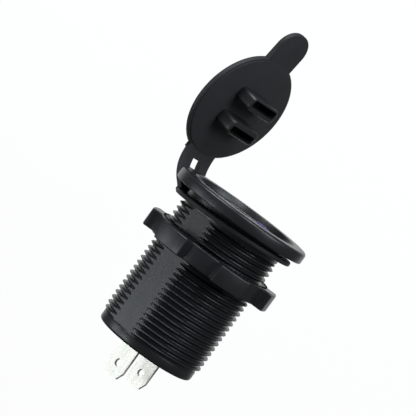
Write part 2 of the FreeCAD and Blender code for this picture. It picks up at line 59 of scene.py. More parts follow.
MM = 0.001
MERGE_DISTANCE = 2e-6
Number = Union[int, float]
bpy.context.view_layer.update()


# Shading


class Wire:
    """One socket of a shader tree, with operators that add Math nodes."""

    def __init__(self, shading: "Shading", socket: bpy.types.NodeSocket) -> None:
        """Remember the tree and the socket."""
        self.shading = shading
        self.socket = socket

    def __add__(self, other: Union["Wire", Number]) -> "Wire":
        """Sum of two values."""
        return self.shading.math("ADD", self, other)

    def __radd__(self, other: Number) -> "Wire":
        """Sum with a number on the left."""
        return self.shading.math("ADD", other, self)

    def __sub__(self, other: Union["Wire", Number]) -> "Wire":
        """Difference of two values."""
        return self.shading.math("SUBTRACT", self, other)

    def __rsub__(self, other: Number) -> "Wire":
        """Difference with a number on the left."""
        return self.shading.math("SUBTRACT", other, self)

    def __mul__(self, other: Union["Wire", Number]) -> "Wire":
        """Product of two values."""
        return self.shading.math("MULTIPLY", self, other)

    def __rmul__(self, other: Number) -> "Wire":
        """Product with a number on the left."""
        return self.shading.math("MULTIPLY", other, self)


class Shading:
    """The node tree of one material or of the world."""

    def __init__(self, owner: Union[bpy.types.Material, bpy.types.World]) -> None:
        """Start an empty tree.

        Args:
            owner: The material or world whose nodes are made anew.
        """
        owner.use_nodes = True
        self.tree = owner.node_tree
        self.tree.nodes.clear()

    def node(self, kind: str, settings: Optional[dict[str, Any]] = None,
             inputs: Optional[dict[Union[str, int], Any]] = None, output: Union[str, int] = 0) -> Wire:
        """Add a node.

        Args:
            kind: The node's type.
            settings: Properties that are set first.
            inputs: A value or a Wire for each socket, by name or number.
            output: The socket that the caller goes on with.

        Returns:
            The chosen output.
        """
        made = self.tree.nodes.new(kind)
        for key, value in (settings or {}).items():
            setattr(made, key, value)
        for key, value in (inputs or {}).items():
            if isinstance(value, Wire):
                self.tree.links.new(value.socket, made.inputs[key])
            else:
                made.inputs[key].default_value = value
        return Wire(self, made.outputs[output]) if made.outputs else Wire(self, made.inputs[0])

    def math(self, operation: str, first: Union[Wire, Number], second: Union[Wire, Number]) -> Wire:
        """A Math node on two values."""
        return self.node("ShaderNodeMath", {"operation": operation}, {0: first, 1: second})

    def mix(self, share: Wire, first: Any, second: Any) -> Wire:
        """A colour between two colours."""
        return self.node("ShaderNodeMix", {"data_type": "RGBA"}, {0: share, 6: first, 7: second}, 2)

    def ray(self, kind: str) -> Wire:
        """Whether a ray is of the kind that this output of Light Path names."""
        return self.node("ShaderNodeLightPath", None, None, kind)


class Grain(Enum):
    """How a surface was worked."""

    SMOOTH = "smooth"
    MOULDED = "moulded"
    RUBBER = "rubber"
    ROLLED = "rolled"


Colour = tuple[float, float, float]

# Scales of the broad clouds and of the fine specks
GRAIN_SCALES = {Grain.MOULDED: (160.0, 2600.0), Grain.RUBBER: (240.0, 3400.0), Grain.ROLLED: (110.0, 420.0)}
ROLLED_STRETCH = (9.0, 9.0, 0.6)
CLOUD_NOISE = {"Detail": 3.0, "Roughness": 0.55}
SPECK_NOISE = {"Detail": 2.0, "Roughness": 0.5}

# What clouds and specks add to the colour, the roughness and the relief
CLOUD_SHARE, SPECK_SHARE = 0.7, 0.3
ROUGHNESS_SWING = 0.22
CLOUD_RELIEF, SPECK_RELIEF = 0.9, 0.5


@dataclass(frozen=True)
class Finish:
    """A surface finish: colours in linear light, gloss, and the grain left by the way it was made."""

    name: str
    slot: str
    colour: Colour
    roughness: float
    grain: Grain = Grain.SMOOTH
    metallic: float = 0.0
    coat: float = 0.0
    specular: float = 0.5
    mottle: float = 0.25
    bump: float = 0.0
    glow: float = 0.0
    emission: Colour = (0.0, 0.0, 0.0)

    def shade(self, share: float) -> tuple[float, float, float, float]:
        """The base colour made lighter or darker by a share."""
        return tuple(min(1.0, c * (1 + share)) for c in self.colour) + (1.0,)

    def material(self) -> bpy.types.Material:
        """Make the material once.

        Returns:
            The material of this finish.
        """
        made = bpy.data.materials.get(self.name)
        if made is not None:
            return made
        made = bpy.data.materials.new(self.name)
        shading = Shading(made)
        inputs: dict[Union[str, int], Any] = {
            "Metallic": self.metallic,
            "Coat Weight": self.coat,
            "Specular IOR Level": self.specular,
            "Emission Strength": self.glow,
            "Emission Color": self.emission + (1.0,),
        }
        self.add_grain(shading, inputs)
        surface = shading.node("ShaderNodeBsdfPrincipled", None, inputs)
        shading.node("ShaderNodeOutputMaterial", None, {"Surface": surface})
        return made

    def add_grain(self, shading: Shading, inputs: dict[Union[str, int], Any]) -> None:
        """Let colour, roughness and relief vary over the surface.

        Args:
            shading: The material's tree.
            inputs: The main shader's inputs, which this fills in.
        """
        if self.grain is Grain.SMOOTH:
            inputs["Base Color"] = self.colour + (1.0,)
            inputs["Roughness"] = self.roughness
            return
        place = shading.node("ShaderNodeTexCoord", None, None, "Object")
        if self.grain is Grain.ROLLED:
            place = shading.node("ShaderNodeMapping", None, {"Vector": place, "Scale": ROLLED_STRETCH})
        broad, fine = GRAIN_SCALES[self.grain]
        clouds = shading.node("ShaderNodeTexNoise", None, {"Vector": place, "Scale": broad, **CLOUD_NOISE}, "Fac")
        specks = shading.node("ShaderNodeTexNoise", None, {"Vector": place, "Scale": fine, **SPECK_NOISE}, "Fac")
        share = clouds * CLOUD_SHARE + specks * SPECK_SHARE
        inputs["Base Color"] = shading.mix(share, self.shade(-self.mottle), self.shade(self.mottle))
        inputs["Roughness"] = self.roughness + (share - 0.5) * ROUGHNESS_SWING
        if self.bump > 0:
            relief = specks * SPECK_RELIEF + clouds * CLOUD_RELIEF
            inputs["Normal"] = shading.node(
                "ShaderNodeBump", None, {"Strength": 1.0, "Distance": self.bump * MM, "Height": relief}, "Normal")


BLACK: Colour = (0.010, 0.0112, 0.0128)
MOULDED_BLACK = Finish("moulded_black", "black_plastic", BLACK, 0.35, Grain.MOULDED, bump=0.03, specular=0.4)
NUT_BLACK = Finish("nut_black", "nut_plastic", BLACK, 0.36, Grain.MOULDED, bump=0.03, specular=0.4)
CAP_RUBBER = Finish("cap_rubber", "black_rubber", (0.021, 0.0217, 0.0238), 0.6, Grain.RUBBER, bump=0.025,
                    specular=0.3)
# The plugs' rubber is painted darker than the lid's: painted shade that stands in for the shadow falling on the
# plugs
PLUG_RUBBER_PAINTED_SHADE = Finish("plug_rubber_painted_shade", "black_rubber", (0.014, 0.0146, 0.016), 0.4, Grain.RUBBER, bump=0.02,
                     specular=0.4)
BLADE_TIN = Finish("blade_tin", "blade_metal", (0.93, 0.91, 0.83), 0.43, Grain.ROLLED, metallic=0.45, mottle=0.05)
SHELL_STEEL = Finish("shell_steel", "shell_metal", (0.68, 0.69, 0.7), 0.3, Grain.ROLLED, metallic=1.0, mottle=0.08)
CONTACT_GILT = Finish("contact_gilt", "contact_metal", (0.8, 0.6, 0.28), 0.3, metallic=1.0)
TONGUE_BLACK = Finish("tongue_black", "insulator_plastic", (0.014, 0.014, 0.015), 0.5, Grain.MOULDED, bump=0.01)
# The lens glows blue by its own emission: a painted glow, since no lamp shines through it
LENS_BLUE_PAINTED_GLOW = Finish("lens_blue_painted_glow", "blue_lens", (0.035, 0.035, 0.12), 0.3, coat=0.2, glow=0.3,
                   emission=(0.05, 0.045, 0.2))
LED_MILK = Finish("led_milk", "led_body", (0.78, 0.78, 0.7), 0.3)
BOARD_GREEN = Finish("board_green", "board", (0.02, 0.12, 0.05), 0.4, Grain.MOULDED, bump=0.005)
PART_DARK = Finish("part_dark", "component_dark", (0.02, 0.02, 0.022), 0.55, Grain.MOULDED, bump=0.008)
PART_PALE = Finish("part_pale", "component_pale", (0.4, 0.32, 0.22), 0.5, Grain.MOULDED, bump=0.005)
CAN_BRIGHT = Finish("can_bright", "can_metal", (0.75, 0.75, 0.77), 0.32, Grain.ROLLED, metallic=1.0, mottle=0.05)


# Outlines and meshes


def ring_outline(radius: float, count: int) -> np.ndarray:
    """Points of a circle, counter-clockwise."""
    turn = np.linspace(0, 2 * math.pi, count, endpoint=False)
    return np.stack([radius * np.cos(turn), radius * np.sin(turn)], axis=1)


def eased_path(corners: Sequence[tuple[float, float, float]], steps: int = 4, closed: bool = False) -> np.ndarray:
    """A run of straight lines whose corners are rounded.

    Args:
        corners: Two coordinates and a rounding radius for each corner.
        steps: Segments in each rounding.
        closed: Whether the last corner joins the first.

    Returns:
        The points of the path.
    """
    spots = [np.array(c[:2], float) for c in corners]
    path: list[np.ndarray] = []
    for i, spot in enumerate(spots):
        radius = corners[i][2]
        at_end = not closed and i in (0, len(spots) - 1)
        if radius <= 0 or at_end:
            path.append(spot)
            continue
        before = spots[i - 1] - spot
        after = spots[(i + 1) % len(spots)] - spot
        before = before / np.linalg.norm(before)
        after = after / np.linalg.norm(after)
        half = math.acos(float(np.clip(before @ after, -1, 1))) / 2
        back = radius / math.tan(half)
        middle = before + after
        middle = spot + middle / np.linalg.norm(middle) * radius / math.sin(half)
        first, last = spot + before * back - middle, spot + after * back - middle
        sweep = math.pi - 2 * half
        for k in range(steps + 1):
            share = k / steps
            weight = (math.sin((1 - share) * sweep) / math.sin(sweep), math.sin(share * sweep) / math.sin(sweep))
            path.append(middle + first * weight[0] + last * weight[1])
    return np.array(path)


def box_outline(middle: tuple[float, float], wide: float, tall: float, corner: float, steps: int = 5) -> np.ndarray:
    """A rectangle with round corners, counter-clockwise."""
    x, y = middle
    corners = [(x + u * wide / 2, y + v * tall / 2, corner) for u, v in ((1, -1), (1, 1), (-1, 1), (-1, -1))]
    return eased_path(corners, steps, closed=True)


def inset(outline: np.ndarray, depth: float) -> np.ndarray:
    """A closed counter-clockwise outline moved inwards by a depth."""
    forward = np.roll(outline, -1, axis=0) - outline
    forward = forward / np.maximum(np.linalg.norm(forward, axis=1, keepdims=True), 1e-9)
    normal = np.stack([forward[:, 1], -forward[:, 0]], axis=1)
    both = normal + np.roll(normal, 1, axis=0)
    both = both / np.maximum(np.linalg.norm(both, axis=1, keepdims=True), 1e-9)
    stretch = np.maximum(np.sum(both * normal, axis=1, keepdims=True), 0.5)
    return outline - both * depth / stretch


def at_height(outline: np.ndarray, height: float) -> np.ndarray:
    """A flat outline as points in space at one height."""
    return np.column_stack([outline, np.full(len(outline), height)])


def eased_loops(outline: np.ndarray, low: float, high: float, ease_low: float, ease_high: float,
                steps: int = 4) -> list[np.ndarray]:
    """Loops that raise an outline between two heights, with rounded edges.

    Args:
        outline: A closed counter-clockwise outline.
        low: Height of the lower face.
        high: Height of the upper face.
        ease_low: Rounding of the lower edge.
        ease_high: Rounding of the upper edge.
        steps: Segments in each rounding.

    Returns:
        The loops, from the lower face to the upper one.
    """
    turns = [k / steps * math.pi / 2 for k in range(steps + 1)]
    levels: list[tuple[float, float]] = []
    if ease_low > 0:
        levels += [(ease_low * (1 - math.sin(a)), low + ease_low * (1 - math.cos(a))) for a in turns[:-1]]
    levels += [(0.0, low + ease_low), (0.0, high - ease_high)]
    if ease_high > 0:
        levels += [(ease_high * (1 - math.cos(a)), high - ease_high * (1 - math.sin(a))) for a in turns[1:]]
    return [at_height(inset(outline, depth) if depth > 0 else outline, height) for depth, height in levels]


class Skin:
    """Points in millimetres and faces that become one mesh object."""

    def __init__(self) -> None:
        """Start with no points."""
        self.points: list[np.ndarray] = []
        self.faces: list[tuple[int, ...]] = []
        self.count = 0

    def add(self, points: np.ndarray) -> np.ndarray:
        """Add points.

        Args:
            points: An array whose last axis holds x, y and z.

        Returns:
            The points' numbers, in the shape of the array without its last axis.
        """
        flat = np.asarray(points, float).reshape(-1, 3)
        numbers = np.arange(self.count, self.count + len(flat))
        self.points.append(flat)
        self.count += len(flat)
        return numbers.reshape(points.shape[:-1])

    def weave(self, numbers: np.ndarray, round_rows: bool = False, round_columns: bool = True) -> None:
        """Join a grid of points with faces of four corners.

        Args:
            numbers: Point numbers in rows and columns.
            round_rows: Whether the last row joins the first.
            round_columns: Whether the last column joins the first.
        """
        rows, columns = numbers.shape
        for j in range(rows if round_rows else rows - 1):
            below, above = numbers[j], numbers[(j + 1) % rows]
            for i in range(columns if round_columns else columns - 1):
                k = (i + 1) % columns
                self.face((below[i], below[k], above[k], above[i]))

    def loft(self, loops: Sequence[np.ndarray], round_rows: bool = False) -> np.ndarray:
        """Join closed loops of as many points each.

        Args:
            loops: Loops of points in space.
            round_rows: Whether the last loop joins the first.

        Returns:
            The point numbers, a row for each loop.
        """
        numbers = self.add(np.array(loops))
        self.weave(numbers, round_rows)
        return numbers

    def face(self, loop: Sequence[int]) -> None:
        """Fill a loop of point numbers with one face."""
        self.faces.append(tuple(int(n) for n in loop))

    def lathe(self, path: np.ndarray, segments: int) -> None:
        """Turn a path of radius and height about Z."""
        ring = ring_outline(1.0, segments)
        self.loft([at_height(ring * r, z) for r, z in path])

    def slab(self, outline: np.ndarray, low: float, high: float, ease_low: float, ease_high: float,
             close_high: bool = True) -> None:
        """Raise an outline between two heights, with rounded edges.

        Args:
            outline: A closed counter-clockwise outline.
            low: Height of the lower face.
            high: Height of the upper face.
            ease_low: Rounding of the lower edge.
            ease_high: Rounding of the upper edge.
            close_high: Whether the upper face is closed.
        """
        numbers = self.loft(eased_loops(outline, low, high, ease_low, ease_high))
        self.face(numbers[0][::-1])
        if close_high:
            self.face(numbers[-1])

    def plate(self, outer: np.ndarray, windows: Sequence[np.ndarray], height: float) -> None:
        """A flat plate with windows, one face deep."""
        loops = [outer, *windows]
        polygons = [[Vector((x, y, height)) for x, y in loop] for loop in loops]
        numbers = self.add(at_height(np.vstack(loops), height))
        for corners in tessellate_polygon(polygons):
            self.face([numbers[c] for c in corners])

    def turned(self, angle: float, pivot: tuple[float, float]) -> "Skin":
        """Turn all points about a line along Y.

        Args:
            angle: Degrees by the right-hand rule about +Y.
            pivot: X and Z of the line.

        Returns:
            This skin.
        """
        c, s = math.cos(math.radians(angle)), math.sin(math.radians(angle))
        every = np.vstack(self.points)
        x, z = every[:, 0] - pivot[0], every[:, 2] - pivot[1]
        self.points = [np.column_stack([pivot[0] + x * c + z * s, every[:, 1], pivot[1] - x * s + z * c])]
        return self

    def piece(self, name: str, finish: Finish, sharp: float = 32.0) -> bpy.types.Object:
        """Make the mesh object.

        Args:
            name: The object's name.
            finish: Its surface.
            sharp: Angle in degrees beyond which an edge stays sharp.

        Returns:
            The object, in the part's frame.
        """
        mesh = bpy.data.meshes.new(name)
        mesh.from_pydata((np.vstack(self.points) * MM).tolist(), [], self.faces)
        work = bmesh.new()
        work.from_mesh(mesh)
        bmesh.ops.remove_doubles(work, verts=work.verts, dist=MERGE_DISTANCE)
        bmesh.ops.recalc_face_normals(work, faces=work.faces)
        work.to_mesh(mesh)
        work.free()
        mesh.shade_smooth()
        mesh.set_sharp_from_angle(angle=math.radians(sharp))
        made = bpy.data.objects.new(name, mesh)
        bpy.context.scene.collection.objects.link(made)
        made.data.materials.append(finish.material())
        log.info("%s: %d faces", name, len(mesh.polygons))
        return made


# Sub-assemblies


@dataclass
class Housing:
    """Flange, dish, threaded barrel with two flats, and rear collar, moulded as one piece."""

    flange_radius: float = 18.5
    flange_height: float = 2.9
    flange_ease: float = 0.85
    dish_radius: float = 14.7
    dish_draft: float = 0.5
    floor: float = 1.5
    floor_under: float = -0.1
    neck_radius: float = 13.9
    neck_foot: float = -3.4
    crest_radius: float = 14.2
    root_radius: float = 13.3
    pitch: float = 1.5
    thread_foot: float = -36.7
    flat_distance: float = 12.95
    collar_radius: float = 13.5
    collar_ease: float = 0.7
    foot: float = -39.2
    bore_radius: float = 11.4
    port_spacing: float = 7.5
    window: tuple[float, float, float] = (6.0, 13.4, 0.7)
    lens_window: tuple[float, float, float] = (4.6, 2.2, 0.9)
    lens_offset: float = 9.9
    lathe_segments: int = 180
    collar_segments: int = 160
    dish_edge_ease: float = 0.25
    under_edge_ease: float = 0.3
    thread_edge_ease: float = 0.15
    bore_edge_ease: float = 0.2
    bore_depth: float = 4.0
    under_thread: float = 0.8
    steps_per_turn: int = 12
    lead_turns: int = 2
    crest_power: float = 1.4
    thread_margin: float = 0.1
    thread_fade: float = 0.7
    thread_end: float = 0.2
    thread_sink: float = 0.3
    thread_overlap: float = 0.6
    flat_half: float = 12.0
    run_out: float = 27.0
    flat_columns: int = 5
    run_out_columns: int = 30
    arc_columns: int = 46

    def build(self) -> bpy.types.Object:
        """Make the housing.

        Returns:
            The housing, which rides on the socket body.
        """
        skin = Skin()
        self.add_flange(skin)
        self.add_dish_floor(skin)
        self.add_thread(skin)
        self.add_collar(skin)
        made = skin.piece("housing_moulding", MOULDED_BLACK)
        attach(made, "socket")
        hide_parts("housing")
        return made

    def add_flange(self, skin: Skin) -> None:
        """The flange from the dish's wall round its rim to the neck."""
        skin.lathe(eased_path([
            (self.dish_radius - self.dish_draft, self.floor, 0),
            (self.dish_radius, self.flange_height, self.dish_edge_ease),
            (self.flange_radius, self.flange_height, self.flange_ease),
            (self.flange_radius, 0.0, self.under_edge_ease),
            (self.neck_radius, 0.0, 0),
            (self.neck_radius, self.neck_foot, self.thread_edge_ease),
            (self.root_radius - self.under_thread, self.neck_foot, 0),
        ]), self.lathe_segments)

    def add_dish_floor(self, skin: Skin) -> None:
        """The dish's floor with the windows of the ports and the lens, and the windows' walls."""
        wide, tall, corner = self.window
        windows = [box_outline((side * self.port_spacing / 2, 0.0), wide, tall, corner) for side in (-1, 1)]
        windows.append(box_outline((0.0, self.lens_offset), *self.lens_window))
        skin.plate(ring_outline(self.dish_radius - self.dish_draft, self.lathe_segments), windows, self.floor)
        for edge in windows:
            skin.loft([at_height(edge, z) for z in (self.floor, self.floor_under)])

    def thread_angles(self) -> np.ndarray:
        """Angles round the barrel, closer where the thread runs out into the flats."""
        flat, out = self.flat_half, self.run_out
        spans = (
            (-flat, flat, self.flat_columns),
            (flat, out, self.run_out_columns),
            (out, 180 - out, self.arc_columns),
            (180 - out, 180 - flat, self.run_out_columns),
        )
        marks = [np.linspace(side + first, side + last, count, endpoint=False)
                 for side in (-90.0, 90.0) for first, last, count in spans]
        return np.radians(np.concatenate(marks))

    def add_thread(self, skin: Skin) -> None:
        """The right-handed thread as one sheet whose rows follow the helix, cut back to the flats."""
        angles = self.thread_angles()
        start = angles[0]
        n = self.steps_per_turn
        turns = math.ceil((self.neck_foot - self.thread_foot) / self.pitch) + self.lead_turns + 1
        rows = np.arange(turns * n + 1)[:, None]
        lead = (angles - start)[None, :] / (2 * math.pi)
        height = self.thread_foot + self.pitch * (rows / n - self.lead_turns + lead)
        phase = (0.5 - 0.5 * np.cos(2 * math.pi * rows / n)) ** self.crest_power
        near_end = np.minimum(self.neck_foot - height, height - self.thread_foot) - self.thread_margin
        fade = np.clip(near_end / self.thread_fade, 0, 1)
        radius = self.root_radius + (self.crest_radius - self.root_radius) * phase * fade
        radius = np.where(near_end < -self.thread_end, self.root_radius - self.thread_sink, radius)
        height = np.clip(height, self.thread_foot - self.thread_overlap, self.neck_foot + self.thread_overlap)
        radius = np.minimum(radius, self.flat_distance / np.maximum(np.abs(np.sin(angles))[None, :], 1e-3))
        points = np.stack([radius * np.cos(angles), radius * np.sin(angles), height], axis=2)
        numbers = skin.add(points)
        skin.weave(numbers, round_columns=False)
        seam = np.stack([numbers[:-n, -1], numbers[n:, 0]], axis=1)
        skin.weave(seam, round_columns=False)

    def add_collar(self, skin: Skin) -> None:
        """The plain collar at the rear and the rim of the bore."""
        skin.lathe(eased_path([
            (self.root_radius - self.under_thread, self.thread_foot, 0),
            (self.collar_radius, self.thread_foot, self.thread_edge_ease),
            (self.collar_radius, self.foot, self.collar_ease),
            (self.bore_radius, self.foot, self.bore_edge_ease),
            (self.bore_radius, self.foot + self.bore_depth, 0),
        ]), self.collar_segments)


@dataclass
class Nut:
    """Plastic nut with lugs round it."""

    top: float = -9.6
    height: float = 4.8
    bore: float = 14.4
    recess_radius: float = 16.0
    lug_radius: float = 18.5
    lugs: int = 6
    lug_angle: float = 27.0
    flank: float = 2.6
    turn: float = 30.6
    lug_columns: int = 11
    flank_columns: int = 4
    recess_columns: int = 8
    ease: float = 0.4
    ease_steps: int = 5
    sharp: float = 40.0
    lead_low: float = 0.5
    lead_high: float = 0.6
    teeth: int = 72
    tooth_height: float = 0.3
    tooth_sink: float = 0.1
    tooth_half: float = 0.32
    tooth_inner: float = 0.7
    tooth_outer: float = 0.45

    def rim(self) -> tuple[np.ndarray, np.ndarray]:
        """Angles and outer radii round the nut, with points close together on the lugs' flanks."""
        step = 360.0 / self.lugs
        half, flank = self.lug_angle / 2, self.flank
        shares = [k / self.flank_columns for k in range(self.flank_columns + 1)]
        spots = [(a, 0.0) for a in np.linspace(-half, half, self.lug_columns)]
        spots += [(half + flank * s, s) for s in shares[1:]]
        spots += [(a, 1.0) for a in np.linspace(half + flank, step - half - flank, self.recess_columns)[1:-1]]
        spots += [(step - half - flank * (1 - s), 1 - s) for s in shares[:-1]]
        turn, depth = np.array(spots).T
        angles = np.concatenate([self.turn + k * step + turn for k in range(self.lugs)])
        radii = self.lug_radius + (self.recess_radius - self.lug_radius) * depth**2 * (3 - 2 * depth)
        return np.radians(angles), np.tile(radii, self.lugs)

    def build(self) -> bpy.types.Object:
        """Make the nut.

        Returns:
            The nut, which rides on the nut body.
        """
        angles, radii = self.rim()
        foot = self.top - self.height
        ring = np.stack([np.cos(angles), np.sin(angles)], axis=1)
        outline = ring * radii[:, None]
        loops = [
            at_height(ring * self.bore, foot + self.lead_low),
            at_height(ring * (self.bore + self.lead_low), foot),
            *eased_loops(outline, foot, self.top, self.ease, self.ease, self.ease_steps),
            at_height(ring * (self.bore + self.lead_high), self.top),
            at_height(ring * self.bore, self.top - self.lead_high),
        ]
        skin = Skin()
        skin.loft(loops, round_rows=True)
        self.add_teeth(skin)
        made = skin.piece("nut_moulding", NUT_BLACK, self.sharp)
        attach(made, "nut")
        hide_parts("mounting_nut")
        return made

    def add_teeth(self, skin: Skin) -> None:
        """A ring of fine wedges on the upper face that bite into the panel."""
        inner, outer = self.bore + self.tooth_inner, self.recess_radius - self.tooth_outer
        low, high = self.top - self.tooth_sink, self.top + self.tooth_height
        step = 2 * math.pi / self.teeth
        for k in range(self.teeth):
            middle = k * step
            corners = []
            for r in (inner, outer):
                for turn, z in ((-self.tooth_half, low), (self.tooth_half, low), (0.0, high)):
                    a = middle + turn * step
                    corners.append((r * math.cos(a), r * math.sin(a), z))
            n = skin.add(np.array(corners))
            for face in ((0, 1, 2), (5, 4, 3), (0, 3, 4, 1), (1, 4, 5, 2), (2, 5, 3, 0)):
                skin.face(n[list(face)])


@dataclass
class Cap:
    """Rubber cap: ring round the neck, bent strap with a slot, and lid with pull tab and two hollow plugs."""

    ring_hole: float = 14.15
    ring_radius: float = 16.65
    ring_top: float = -1.6
    ring_thickness: float = 1.2
    ring_tilt: float = 2.5
    ring_edge: float = 17.1
    ring_ease: float = 0.4
    ring_columns: int = 144
    band_sharp: float = 45.0
    lid_sharp: float = 40.0
    strap_width: float = 11.5
    strap_thickness: float = 1.2
    strap_ease: float = 0.35
    strap_edge_columns: int = 4
    strap_rows: int = 49
    slot_width: float = 3.6
    slot_span: tuple[float, float] = (2.5, 4.8)
    hinge: tuple[float, float] = (-20.3, 1.3)
    lid_open: float = 82.4
    lid_radius: float = 15.3
    lid_low: float = 3.2
    lid_high: float = 4.6
    lid_ease_low: float = 0.35
    lid_ease_high: float = 0.45
    rim_columns: int = 60
    pad_radius: float = 14.7
    pad_low: float = 2.95
    pad_ease: float = 0.12
    pad_columns: int = 120
    sink: float = 0.1
    lid_stub: float = 15.5
    tab_length: float = 8.6
    tab_width: float = 10.8
    tab_corner: float = 5.0
    tab_join: float = 1.5
    tab_steps: int = 10
    plug_size: tuple[float, float, float] = (3.8, 11.4, 1.2)
    plug_hollow: tuple[float, float, float] = (2.1, 9.8, 0.6)
    tongue_offset: float = 0.4
    hollow_shift: float = -0.1
    hollow_floor: float = 0.6
    plug_reach: float = 5.7
    plug_edge: float = 0.3
    plug_edge_steps: Sequence[tuple[float, float]] = ((0.04, 0.15), (0.15, 0.04), (0.3, 0.0))
    port_spacing: float = 7.5
    strap_path: Sequence[tuple[float, float]] = (
        (-15.8, -2.75), (-16.7, -2.2), (-17.6, -1.45), (-18.55, -0.7), (-19.85, 0.7), (-20.8, 2.2), (-21.4, 3.8),
        (-21.7, 5.4), (-21.85, 7.2), (-21.8, 8.6))

    def build(self) -> list[bpy.types.Object]:
        """Make the cap's pieces.

        Returns:
            Ring, strap, lid and plugs.
        """
        return [self.build_ring(), self.build_strap(), self.build_lid(), self.build_plugs()]

    def build_ring(self) -> bpy.types.Object:
        """The tilted ring, straight where the strap grows from it."""
        ring = ring_outline(1.0, self.ring_columns)
        outline = ring * self.ring_radius
        near = (np.abs(outline[:, 1]) < self.strap_width / 2) & (outline[:, 0] < 0)
        outline[near, 0] = -self.ring_edge
        low, hole = self.ring_top - self.ring_thickness, ring * self.ring_hole
        loops = [
            at_height(hole, low),
            *eased_loops(outline, low, self.ring_top, self.ring_ease, self.ring_ease),
            at_height(hole, self.ring_top),
        ]
        skin = Skin()
        skin.loft(loops, round_rows=True)
        skin.turned(-self.ring_tilt, (0.0, self.ring_top - self.ring_thickness / 2))
        made = skin.piece("cap_ring_moulding", CAP_RUBBER, self.band_sharp)
        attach(made, "socket")
        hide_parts("cap_ring")
        return made

    def strap_line(self, count: int) -> np.ndarray:
        """Even points along a smooth curve through the strap's path."""
        spots = np.array(self.strap_path)
        knots = np.concatenate([[0], np.cumsum(np.linalg.norm(np.diff(spots, axis=0), axis=1))])
        slopes = np.gradient(spots, knots, axis=0)
        curve = []
        for t in np.linspace(0, knots[-1], count):
            i = min(int(np.searchsorted(knots, t, side="right")) - 1, len(knots) - 2)
            span = knots[i + 1] - knots[i]
            u = (t - knots[i]) / span
            curve.append((2 * u**3 - 3 * u**2 + 1) * spots[i] + (u**3 - 2 * u**2 + u) * span * slopes[i]
                         + (3 * u**2 - 2 * u**3) * spots[i + 1] + (u**3 - u**2) * span * slopes[i + 1])
        return np.array(curve)

    def build_strap(self) -> bpy.types.Object:
        """The strap, one bent band with a slot through it, that runs between ring and lid."""
        line = self.strap_line(self.strap_rows)
        along = np.gradient(line, axis=0)
        along = along / np.linalg.norm(along, axis=1, keepdims=True)
        normal = np.stack([-along[:, 1], along[:, 0]], axis=1)
        half, thick, gap = self.strap_width / 2, self.strap_thickness / 2, self.slot_width / 2
        ease = self.strap_ease
        turns = np.linspace(0, math.pi / 2, self.strap_edge_columns)
        edge = [(half - ease + ease * math.sin(t), thick - ease + ease * math.cos(t)) for t in turns]
        right = edge + [(y, -h) for y, h in reversed(edge)]
        left = [(-y, -h) for y, h in right]
        inner = [-half / 2, -gap, gap, half / 2]
        loop = right + [(y, -thick) for y in reversed(inner)] + left + [(y, thick) for y in inner]
        skin = Skin()
        numbers = skin.add(np.array([
            [(spot[0] + across[0] * h, y, spot[1] + across[1] * h) for y, h in loop]
            for spot, across in zip(line, normal)]))
        first, last = self.slot_rows(line)
        low_gap = loop.index((gap, -thick))
        high_gap = loop.index((-gap, thick))
        for j in range(len(line) - 1):
            for i in range(len(loop)):
                k = (i + 1) % len(loop)
                if first <= j < last and i in (low_gap, high_gap):
                    continue
                skin.face((numbers[j, i], numbers[j, k], numbers[j + 1, k], numbers[j + 1, i]))
        walls = ((low_gap, high_gap + 1), (low_gap + 1, high_gap))
        for j in range(first, last):
            for a, b in walls:
                skin.face((numbers[j, a], numbers[j + 1, a], numbers[j + 1, b], numbers[j, b]))
        for j in (first, last):
            skin.face(numbers[j, [low_gap, low_gap + 1, high_gap, high_gap + 1]])
        made = skin.piece("cap_strap_band", CAP_RUBBER, self.band_sharp)
        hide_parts("cap_strap")
        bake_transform(made)
        return made

    def slot_rows(self, line: np.ndarray) -> tuple[int, int]:
        """The rows of the strap's grid between which the slot lies."""
        low, high = self.slot_span
        first = int(np.argmin(np.abs(line[:, 1] - low)))
        last = int(np.argmin(np.abs(line[:, 1] - high)))
        return first, last

    def lid_outline(self) -> np.ndarray:
        """The lid's outline shut: a circle with the pull tab at +X and the strap's stub at -X."""
        half, reach, r = self.tab_width / 2, self.lid_radius + self.tab_length, self.lid_radius
        stub, corner = self.strap_width / 2, self.tab_corner
        join = math.degrees(math.asin(half / r))
        side = r * math.cos(math.radians(join))
        strap_join = 180 - math.degrees(math.asin(stub / r))
        rim = np.radians(np.linspace(join + self.tab_join, strap_join, self.rim_columns))
        corners: list[tuple[float, float, float]] = [
            (reach, -half, corner),
            (reach, half, corner),
            (side, half, 0),
            *((r * math.cos(a), r * math.sin(a), 0) for a in rim),
            (-self.lid_stub, stub, 0),
            (-self.lid_stub, -stub, 0),
            *((r * math.cos(a), -r * math.sin(a), 0) for a in rim[::-1]),
            (side, -half, 0),
        ]
        return eased_path(corners, self.tab_steps, closed=True)

    def build_lid(self) -> bpy.types.Object:
        """The lid, modelled shut and swung open, which rides on the cap body."""
        skin = Skin()
        skin.slab(self.lid_outline(), self.lid_low, self.lid_high, self.lid_ease_low, self.lid_ease_high)
        skin.slab(ring_outline(self.pad_radius, self.pad_columns), self.pad_low, self.lid_low + self.sink,
                  self.pad_ease, 0.0, close_high=False)
        skin.turned(-self.lid_open, self.hinge)
        made = skin.piece("cap_lid_moulding", CAP_RUBBER, self.lid_sharp)
        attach(made, "cap")
        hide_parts("cap_lid")
        return made

    def build_plugs(self) -> bpy.types.Object:
        """The lid's two plugs, smoother than the lid, with their rubber painted darker than the lid's as painted
        shade.
        """
        skin = Skin()
        for side in (-1, 1):
            self.add_plug(skin, side * self.port_spacing / 2)
        skin.turned(-self.lid_open, self.hinge)
        made = skin.piece("cap_lid_plugs", PLUG_RUBBER_PAINTED_SHADE, self.lid_sharp)
        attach(made, "cap")
        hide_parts("cap_lid")
        return made

